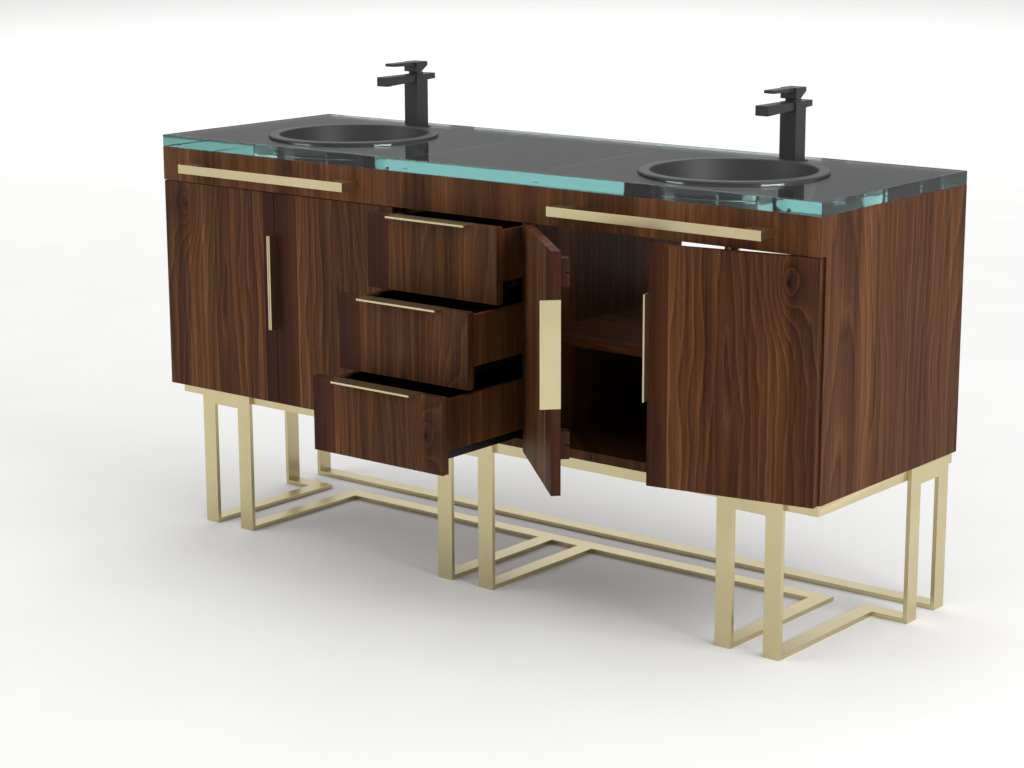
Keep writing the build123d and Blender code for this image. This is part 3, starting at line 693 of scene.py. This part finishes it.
# %% The basins
low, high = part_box("basin_left")
spot = middle("basin_left")
rim = (high.x - low.x) / 2
basin_wall, basin_corner, rim_round = 8 * MM, 70 * MM, 4 * MM
rim_width, bowl_draft = 25 * MM, 27 * MM
drain_hole, drain_flat, floor_fall = 22 * MM, 36 * MM, 8 * MM
rim_low = high.z - 5.5 * MM
bowl_floor = low.z + basin_wall
mouth = rim - rim_width
bowl_section = [
    (drain_hole, bowl_floor), (drain_flat, bowl_floor),
    (mouth - bowl_draft, bowl_floor + floor_fall, basin_corner),
    (mouth, high.z, rim_round), (rim, high.z, rim_round), (rim, rim_low),
    (mouth + basin_wall, rim_low),
    (mouth - bowl_draft + basin_wall, low.z + floor_fall, basin_corner + basin_wall),
    (drain_flat, low.z), (drain_hole, low.z)]
to_right = middle("basin_right") - middle("basin_left")
basin = lathe("basin_left_cast", spot, bowl_section, closed=True)
finish(twin(basin, "basin_right_cast", to_right), composite, "basin_right")
finish(basin, composite, "basin_left")
print("basin:", len(basin.data.polygons), "faces, rim", round(2 * rim / MM), "mm across")

# %% [markdown]
# Under the stopper sits the drain: a flanged sleeve that is screwed up against the bowl, and a
# thinner tail for the trap. A cross bar in the sleeve guides the stopper's stem.

# %% The drains and the stoppers
tail_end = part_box("drains")[0].z
sleeve_end = bowl_floor - 42 * MM
flange_radius, flange_top = 32 * MM, bowl_floor + 3 * MM
sleeve_outside, sleeve_inside = 20.5 * MM, 17 * MM
tail_outside, tail_inside = 16 * MM, 14 * MM
drain_section = [
    (sleeve_inside, flange_top), (flange_radius, flange_top, 1 * MM), (flange_radius, bowl_floor),
    (sleeve_outside, bowl_floor), (sleeve_outside, sleeve_end), (tail_outside, sleeve_end),
    (tail_outside, tail_end), (tail_inside, tail_end), (tail_inside, sleeve_end),
    (sleeve_inside, sleeve_end + 2 * MM)]
drain = lathe("drain_left", spot, drain_section, 64, closed=True)
guide_low, guide_top = bowl_floor - 20 * MM, bowl_floor - 12 * MM
guide_half = sleeve_inside + 0.5 * MM
hub_radius, guide_bore, stem_radius = 8 * MM, 4.1 * MM, 4 * MM
guide = cube("guide", (spot.x - guide_half, spot.y - 3 * MM, guide_low),
             (spot.x + guide_half, spot.y + 3 * MM, guide_top))
hub = rod("hub", (spot.x, spot.y, guide_low), (spot.x, spot.y, guide_top), hub_radius, 48)
combine(guide, hub, "UNION")
bore = rod("bore", (spot.x, spot.y, guide_low - MM), (spot.x, spot.y, guide_top + MM),
           guide_bore, 48)
combine(guide, bore, "DIFFERENCE")
drain = join("drain_left_turned", [drain, ease(guide, 0.4 * MM)])
finish(twin(drain, "drain_right_turned", to_right), machined_brass, "drains")
finish(drain, machined_brass, "drains")

low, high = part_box("stopper_left")
seat = high.z - 5 * MM
cap_radius = 27 * MM
stopper_section = [(0, low.z), (stem_radius, low.z, 1 * MM), (stem_radius, seat),
                   (cap_radius, seat, 0.6 * MM), (cap_radius, high.z, 2 * MM), (0, high.z)]
stopper = lathe("stopper_left_cap", spot, stopper_section, 64)
finish(twin(stopper, "stopper_right_cap", to_right), composite, "stopper_right")
finish(stopper, composite, "stopper_left")
print("drain and stopper:", len(drain.data.polygons), "and", len(stopper.data.polygons), "faces")

# %% [markdown]
# ## The faucets
# The body is built from flat stock: a square post on a thin square plate, with a flat bar through
# its top for the spout. The spout thins towards the wall, because only its underside slopes. A
# round aerator is let into that underside, and a threaded shank passes down through the glass.

# %% The faucet's body
spot = middle("faucet_left_neck")
low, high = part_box("faucet_left_body")
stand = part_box("glass_top")[1].z
post_half, plate_half, plate_thick, spout_half = 20 * MM, 24 * MM, 3 * MM, 16 * MM
tip_thick, rear_thick = 21.5 * MM, 13.5 * MM
spout_length = high.y - low.y
spindle_depth, spindle_bore = 14 * MM, 10.1 * MM
mouth_from_tip, seat_depth, seat_radius = 18 * MM, 5 * MM, 11 * MM


def thickness_at(y):
    """The spout's thickness, which shrinks evenly from its tip to its rear end."""
    return tip_thick - (tip_thick - rear_thick) * (y - low.y) / spout_length


post = cube("post", (spot.x - post_half, spot.y - post_half, stand + plate_thick),
            (spot.x + post_half, spot.y + post_half, high.z))
root_low = high.z - thickness_at(spot.y - post_half)
heel_low = high.z - thickness_at(spot.y + post_half)
for edge_x in (spot.x - spout_half, spot.x + spout_half):
    divide(post, (edge_x, 0, 0), (1, 0, 0))
for edge_z in (root_low, heel_low):
    divide(post, (0, 0, edge_z), (0, 0, 1))
pick_faces(post, lambda centre, normal: normal.y < -0.9 and centre.z > root_low
           and abs(centre.x - spot.x) < spout_half)
extrude((0, low.y - (spot.y - post_half), 0))
close(post)
pick_points(post, lambda p: p.y < low.y + MM and p.z < root_low + 0.1 * MM)
bpy.ops.transform.translate(value=(0, 0, high.z - tip_thick - root_low))
close(post)
pick_faces(post, lambda centre, normal: normal.y > 0.9 and centre.z > heel_low
           and abs(centre.x - spot.x) < spout_half)
extrude((0, high.y - (spot.y + post_half), 0))
close(post)
pick_points(post, lambda p: p.y > high.y - MM and p.z < heel_low + 0.1 * MM)
bpy.ops.transform.translate(value=(0, 0, high.z - rear_thick - heel_low))
close(post)
spindle_room = rod("room", (spot.x, spot.y, high.z - spindle_depth),
                   (spot.x, spot.y, high.z + MM), spindle_bore)
combine(post, spindle_room, "DIFFERENCE")
mouth_y = low.y + mouth_from_tip
mouth_z = high.z - thickness_at(mouth_y)
seat_room = rod("seat", (spot.x, mouth_y, mouth_z - MM), (spot.x, mouth_y, mouth_z + seat_depth),
                seat_radius)
combine(post, seat_room, "DIFFERENCE")
ease(post, 0.7 * MM, 3)
mouth_rise = round((mouth_z - stand) / MM)
print("spout", round(spout_length / MM), "mm long, its mouth", mouth_rise, "mm up")

# %% The faucet's plate, aerator and shank
plate = cube("plate", (spot.x - plate_half, spot.y - plate_half, stand),
             (spot.x + plate_half, spot.y + plate_half, stand + plate_thick))
ease(plate, 0.5 * MM, 2)
aerator_radius, aerator_proud, aerator_ring = 10.9 * MM, 1.5 * MM, 2.5 * MM
aerator = rod("aerator", (spot.x, mouth_y, mouth_z - aerator_proud),
              (spot.x, mouth_y, mouth_z + seat_depth), aerator_radius)
pick_faces(aerator, lambda centre, normal: normal.z < -0.9)
bpy.ops.mesh.inset(thickness=aerator_ring)
extrude((0, 0, aerator_ring))
ease(close(aerator), 0.3 * MM, 2)
shank_radius, inlet_radius, inlet_spread, inlet_depth = 16 * MM, 4.5 * MM, 7 * MM, 14 * MM
shank = rod("shank", (spot.x, spot.y, low.z), (spot.x, spot.y, stand), shank_radius)
for way in (-1, 1):
    inlet_x = spot.x + way * inlet_spread
    inlet = rod("inlet", (inlet_x, spot.y, low.z - MM), (inlet_x, spot.y, low.z + inlet_depth),
                inlet_radius, 32)
    combine(shank, inlet, "DIFFERENCE")
ease(shank, 0.5 * MM, 2)
faucet = join("faucet_left_cast", [post, plate, aerator, shank])
finish(twin(faucet, "faucet_right_cast", to_right), powder_coat, "faucet_right_body")
finish(faucet, powder_coat, "faucet_left_body")
print("faucet body:", len(faucet.data.polygons), "faces")

# %% [markdown]
# On the post turns a short round neck, and on the neck's stem tilts the handle: a square block
# with a thin flat lever. The block's rear underside is cut away on a slope, because that is
# where it dips when the lever is lifted. A cross pin ties block and stem together. The neck's disc
# clears the post by a hair, so that it can turn.

# %% The neck and the handle
low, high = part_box("faucet_left_neck")
post_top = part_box("faucet_left_body")[1].z
handle_low, handle_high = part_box("faucet_left_lever")
disc_low, disc_high = post_top + 0.15 * MM, post_top + 5 * MM
spindle_radius, disc_radius, neck_stem = 10 * MM, 17 * MM, 6 * MM
neck_section = [
    (0, low.z), (spindle_radius, low.z, 1 * MM), (spindle_radius, disc_low),
    (disc_radius, disc_low), (disc_radius, disc_high, 0.6 * MM), (neck_stem, disc_high),
    (neck_stem, high.z, 1 * MM), (0, high.z)]
neck = lathe("neck_left_turned", spot, neck_section, 64)
pin_z = handle_low.z + 7.5 * MM
pin_radius, pin_play, pin_half = 2 * MM, 0.08 * MM, 16 * MM
pin_hole = rod("pin_hole", (spot.x - 8 * MM, spot.y, pin_z), (spot.x + 8 * MM, spot.y, pin_z),
               pin_radius + pin_play, 32)
combine(neck, pin_hole, "DIFFERENCE")
finish(twin(neck, "neck_right_turned", to_right), powder_coat, "faucet_right_neck")
finish(neck, powder_coat, "faucet_left_neck")

slope_run, slope_rise, arm_half = 22 * MM, 12 * MM, 13 * MM
arm_root_thick, arm_thinning = 9 * MM, 2 * MM
room_half, room_height = 9 * MM, 15 * MM
handle = cube("handle_block", (spot.x - post_half, spot.y - post_half, handle_low.z),
              (spot.x + post_half, spot.y + post_half, handle_high.z))
arm_low = handle_high.z - arm_root_thick
for edge_x in (spot.x - arm_half, spot.x + arm_half):
    divide(handle, (edge_x, 0, 0), (1, 0, 0))
divide(handle, (0, 0, arm_low), (0, 0, 1))
pick_faces(handle, lambda centre, normal: normal.y < -0.9 and centre.z > arm_low
           and abs(centre.x - spot.x) < arm_half)
extrude((0, handle_low.y - (spot.y - post_half), 0))
close(handle)
pick_points(handle, lambda p: p.y < handle_low.y + MM and p.z < arm_low + 0.1 * MM)
bpy.ops.transform.translate(value=(0, 0, arm_thinning))
close(handle)
pick_all(handle)
bpy.ops.mesh.bisect(plane_co=(spot.x, spot.y + post_half - slope_run, handle_low.z),
                    plane_no=(0, slope_rise, -slope_run), use_fill=True, clear_outer=True)
close(handle)
room = cube("room", (spot.x - room_half, spot.y - room_half, handle_low.z - MM),
            (spot.x + room_half, spot.y + room_half, handle_low.z + room_height))
combine(handle, room, "DIFFERENCE")
ease(handle, 0.8 * MM, 3)
pin = rod("pin", (spot.x - pin_half, spot.y, pin_z), (spot.x + pin_half, spot.y, pin_z),
          pin_radius, 32)
handle = join("handle_left_block", [handle, ease(pin, 0.3 * MM)])
finish(twin(handle, "handle_right_block", to_right), powder_coat, "faucet_right_lever")
finish(handle, powder_coat, "faucet_left_lever")
print("neck and handle:", len(neck.data.polygons), "and", len(handle.data.polygons), "faces")

# %% [markdown]
# ## Flat-bar brass
# The towel bars, the legs and the floor runners are all flat bar. A comb of bars that are one
# plate in reality is modelled as one: a cube is divided where the branches start, and the small
# faces between the cuts are extruded. So no seam shows where a leg meets its bridge.

# %% The towel bars
low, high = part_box("towel_bars")
bar_thick, block_length, block_inset, bar_edge = 4 * MM, 48 * MM, 1 * MM, 0.7 * MM
bar_length = 516 * MM
towel_bar = cube("towel_bar_left", low, (low.x + bar_length, low.y + bar_thick, high.z))
for place, normal in (((low.x + block_length, 0, 0), (1, 0, 0)),
                      ((low.x + bar_length - block_length, 0, 0), (1, 0, 0)),
                      ((0, 0, low.z + block_inset), (0, 0, 1)),
                      ((0, 0, high.z - block_inset), (0, 0, 1))):
    divide(towel_bar, place, normal)
bar_middle = Vector((low.x + bar_length / 2, 0, (low.z + high.z) / 2))
pick_faces(towel_bar, lambda centre, normal: normal.y > 0.9
           and abs(centre.x - bar_middle.x) > bar_length / 2 - block_length
           and abs(centre.z - bar_middle.z) < (high.z - low.z) / 2 - block_inset)
extrude((0, high.y - low.y - bar_thick, 0))
ease(close(towel_bar), bar_edge, 3)
second_bar = twin(towel_bar, "towel_bar_right", (high.x - low.x - bar_length, 0, 0))
for bar in (towel_bar, second_bar):
    finish(bar, satin_brass, "towel_bars")
print("towel bars:", len(towel_bar.data.polygons), "faces each")

# %% The legs
low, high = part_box("legs_front")
bar_width = 40 * MM
pair_width = 156 * MM
bridge_low = high.z - bar_width
pair = cube("leg_pair_left", (low.x, low.y, bridge_low), (low.x + pair_width, high.y, high.z))
divide(pair, (low.x + bar_width, 0, 0), (1, 0, 0))
divide(pair, (low.x + pair_width - bar_width, 0, 0), (1, 0, 0))
pick_faces(pair, lambda centre, normal: normal.z < -0.9
           and abs(centre.x - low.x - pair_width / 2) > pair_width / 2 - bar_width)
extrude((0, 0, low.z - bridge_low))
ease(close(pair), bar_edge, 3)
middle_step = (high.x - low.x - pair_width) / 2
pairs = [pair, twin(pair, "leg_pair_middle", (middle_step, 0, 0)),
         twin(pair, "leg_pair_right", (2 * middle_step, 0, 0))]
for made in pairs:
    finish(made, satin_brass, "legs_front")

side_low, side_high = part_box("legs_side")
side_bar = 10 * MM
side_pair = cube("side_pair_left", (side_low.x, side_low.y, bridge_low),
                 (side_low.x + side_bar, side_high.y, side_high.z))
divide(side_pair, (0, side_low.y + bar_width, 0), (0, 1, 0))
divide(side_pair, (0, side_high.y - bar_width, 0), (0, 1, 0))
side_middle = (side_low.y + side_high.y) / 2
pick_faces(side_pair, lambda centre, normal: normal.z < -0.9
           and abs(centre.y - side_middle) > (side_high.y - side_low.y) / 2 - bar_width)
extrude((0, 0, side_low.z - bridge_low))
ease(close(side_pair), bar_edge, 3)
side_step = side_high.x - side_low.x - side_bar
for made in (side_pair, twin(side_pair, "side_pair_right", (side_step, 0, 0))):
    finish(made, satin_brass, "legs_side")
print("legs:", len(pairs), "front pairs and 2 side pairs")

# %% [markdown]
# On the floor, flat runners tie the legs together. The long inner one has four branches forward
# to the middle legs. At each end an L runs from the front leg back and then out to the side leg.

# %% The floor runners
low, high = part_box("floor_runners_inner")
front_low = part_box("legs_front")[0]
long_front = side_low.y
runner = cube("runner_inner", (low.x, long_front, low.z), high)
branch_starts = [front_low.x + pair_width - bar_width,
                 front_low.x + middle_step, front_low.x + middle_step + pair_width - bar_width,
                 front_low.x + 2 * middle_step]
for start in branch_starts:
    for cut_x in (start, start + bar_width):
        if low.x + MM < cut_x < high.x - MM:
            divide(runner, (cut_x, 0, 0), (1, 0, 0))
pick_faces(runner, lambda centre, normal: normal.y < -0.9
           and any(start < centre.x < start + bar_width for start in branch_starts))
extrude((0, low.y - long_front, 0))
ease(close(runner), bar_edge, 3)
finish(runner, satin_brass, "floor_runners_inner")

low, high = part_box("floor_runners_corner")
corner_runner = cube("runner_corner_left", (front_low.x, low.y, low.z),
                     (front_low.x + bar_width, high.y, high.z))
divide(corner_runner, (0, high.y - bar_width, 0), (0, 1, 0))
pick_faces(corner_runner, lambda centre, normal: normal.x < -0.9 and centre.y > high.y - bar_width)
extrude((low.x - front_low.x, 0, 0))
close(corner_runner)
mirrored = twin(corner_runner, "runner_corner_right", (0, 0, 0))
mirrored.data.transform(Matrix.Scale(-1, 4, (1, 0, 0)))
pick_all(mirrored)
bpy.ops.mesh.normals_make_consistent(inside=False)
close(mirrored)
for made in (corner_runner, mirrored):
    finish(ease(made, bar_edge, 3), satin_brass, "floor_runners_corner")
soften("floor_runner_rear", satin_brass, bar_edge, 3)
soften("ring_frame", satin_brass, 0.5 * MM)
print("runners:", len(runner.data.polygons), "faces in the inner one")

# %% [markdown]
# ## The wooden body
# Every board comes from the frame: merged from its triangles into flat faces, so that its drilled
# holes stay, and then its edges are broken by a third of a millimetre, as a sanding block does.

# %% The body's boards
for node in ("side_panel_left", "side_panel_right"):
    soften(node, wood_sides)
for node in ("partition_left", "partition_right", "bottom_panel", "front_rails", "back_rail",
             "back_panel"):
    soften(node, wood_inside)
for node in ("shelf_left", "shelf_right"):
    soften(node, wood_level)
soften("apron", wood_apron)
print("boards of the body done")

# %% [markdown]
# ## Doors and drawers
# Doors and drawer fronts are thick veneered panels with a brass plate let into one edge as a
# pull. Behind each door are two slotted blocks that hold the catch. A drawer's box is a tray:
# a cube whose top face is inset by the wall's thickness and pushed down to the bottom board.
# A thin black lining stands just inside it.

# %% Doors
door_woods = {"left_outer": wood_left, "left_inner": wood_left, "right_inner": wood_inner_door,
              "right_outer": wood_outer_door}
for name, wood in door_woods.items():
    soften(f"door_{name}_panel", wood)
    soften(f"door_{name}_pull", satin_brass, 0.5 * MM, 3)
    soften(f"door_{name}_hinge_cups", nickel, 0.3 * MM)
print("doors:", ", ".join(door_woods))

# %% Drawers
box_wall, box_floor = 14 * MM, 8 * MM
lining_wall, lining_gap, lining_drop = 1.2 * MM, 0.4 * MM, 3 * MM


def tray(name, low, high, wall, floor):
    """An open box: a cube whose top is inset by the wall and pushed down to the floor."""
    piece = cube(name, low, high)
    pick_faces(piece, lambda centre, normal: normal.z > 0.9)
    bpy.ops.mesh.inset(thickness=wall)
    extrude((0, 0, low.z + floor - high.z))
    return close(piece)


for name in ("top", "middle", "bottom"):
    node = f"drawer_{name}_box"
    low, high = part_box(node)
    box = ease(tray(f"drawer_{name}_tray", low, high, box_wall, box_floor), 0.5 * MM)
    finish(box, wood_inside, node)
    inner = Vector((box_wall + lining_gap, box_wall + lining_gap, 0))
    lining = tray(f"drawer_{name}_lining", low + inner + Vector((0, 0, box_floor + lining_gap)),
                  high - inner - Vector((0, 0, lining_drop)), lining_wall, lining_wall)
    finish(ease(lining, 0.3 * MM), felt, node)
    soften(f"drawer_{name}_front", drawer_woods[name])
    soften(f"drawer_{name}_pull", satin_brass, 0.5 * MM, 3)
    soften(f"drawer_{name}_slides", blackened_steel)
print("drawers: 3 trays with linings")

# %% [markdown]
# ## Fittings that keep the frame's own shape
# Hinge arms are eased, because they show when a door stands open. Small hidden fittings are
# already the right shape in the frame, so those nodes stay and only get their materials.

# %% Fittings
def dress(material, *nodes):
    """Gives frame nodes a material and leaves their shape alone."""
    for node in nodes:
        for holder in frame["nodes"][node].material_slots:
            holder.material = material


soften("hinge_arms", nickel, 0.6 * MM, 2)
dress(nickel, "screws", "shelf_pins")
dress(blackened_steel, "drawer_runners")
dress(machined_brass, "plumbing_nuts")
dress(clear_silicone, "seals")
print("fittings dressed")

# %% [markdown]
# ## Floor and light
# The studio is plain: a pale matt floor that runs out of view, a soft white room, one large
# light on the right, a weaker one on the left and one over the floor far behind. Large lights give
# soft shadows, and dark glossy pieces need something large and pale to reflect.

# %% The floor
bpy.ops.object.select_all(action="DESELECT")
floor_size, floor_drop = 120, 0.3 * MM
bpy.ops.mesh.primitive_plane_add(size=floor_size, location=(0, 0, -floor_drop))
floor = settle(bpy.context.object, "studio_floor")
pale, tree, shader, place = new_material("pale_matt_floor")
mottle = add(tree, "TexNoise", {"Vector": place, "Scale": 3.0, "Detail": 4.0})
tone = add(tree, "ValToRGB", {0: mottle}, stops=[(0.3, "#EBEBEA"), (0.7, "#EEEEED")])
tree.links.new(tone.outputs[0], shader.inputs["Base Color"])
shader.inputs["Roughness"].default_value = 0.9
shader.inputs["Specular IOR Level"].default_value = 0.1
floor.data.materials.append(pale)
print("floor laid")

# %% The room's light and the lamps
bpy.context.scene.view_settings.view_transform = "Standard"
world = bpy.data.worlds.new("studio")
bpy.context.scene.world = world
world.use_nodes = True
tree = world.node_tree
tree.nodes.clear()
look = add(tree, "TexCoord").outputs["Generated"]
height = add(tree, "SeparateXYZ", {0: look}).outputs["Z"]
room_tone = add(tree, "ValToRGB", {0: height}, stops=[(0.0, grey(0.22)), (0.26, grey(0.22)),
                                                      (0.50, grey(0.90)), (1.0, grey(1.0))])
air = add(tree, "Background", {"Color": room_tone, "Strength": 1.02})
add(tree, "OutputWorld", {"Surface": air})


def lamp(name, place, target, size, power):
    """A large square light that faces a target."""
    light = bpy.data.lights.new(name, "AREA")
    light.size = size
    light.energy = power
    holder = bpy.data.objects.new(name, light)
    bpy.context.scene.collection.objects.link(holder)
    aim = (Vector(target) - Vector(place)).to_track_quat("-Z", "Y").to_matrix().to_4x4()
    holder.matrix_world = Matrix.Translation(Vector(place)) @ aim
    return holder


lamp("right_soft_light", (4.5, -0.6, 2.6), (0.6, -0.2, 0.6), 2.5, 122)
lamp("left_soft_light", (-3.5, -4.0, 2.6), (0, -0.3, 0.5), 3.0, 60)
lamp("far_floor_light", (-8.0, 10.0, 6.0), (-8.0, 10.1, 0.0), 14.0, 470)
print("room and three lamps set")
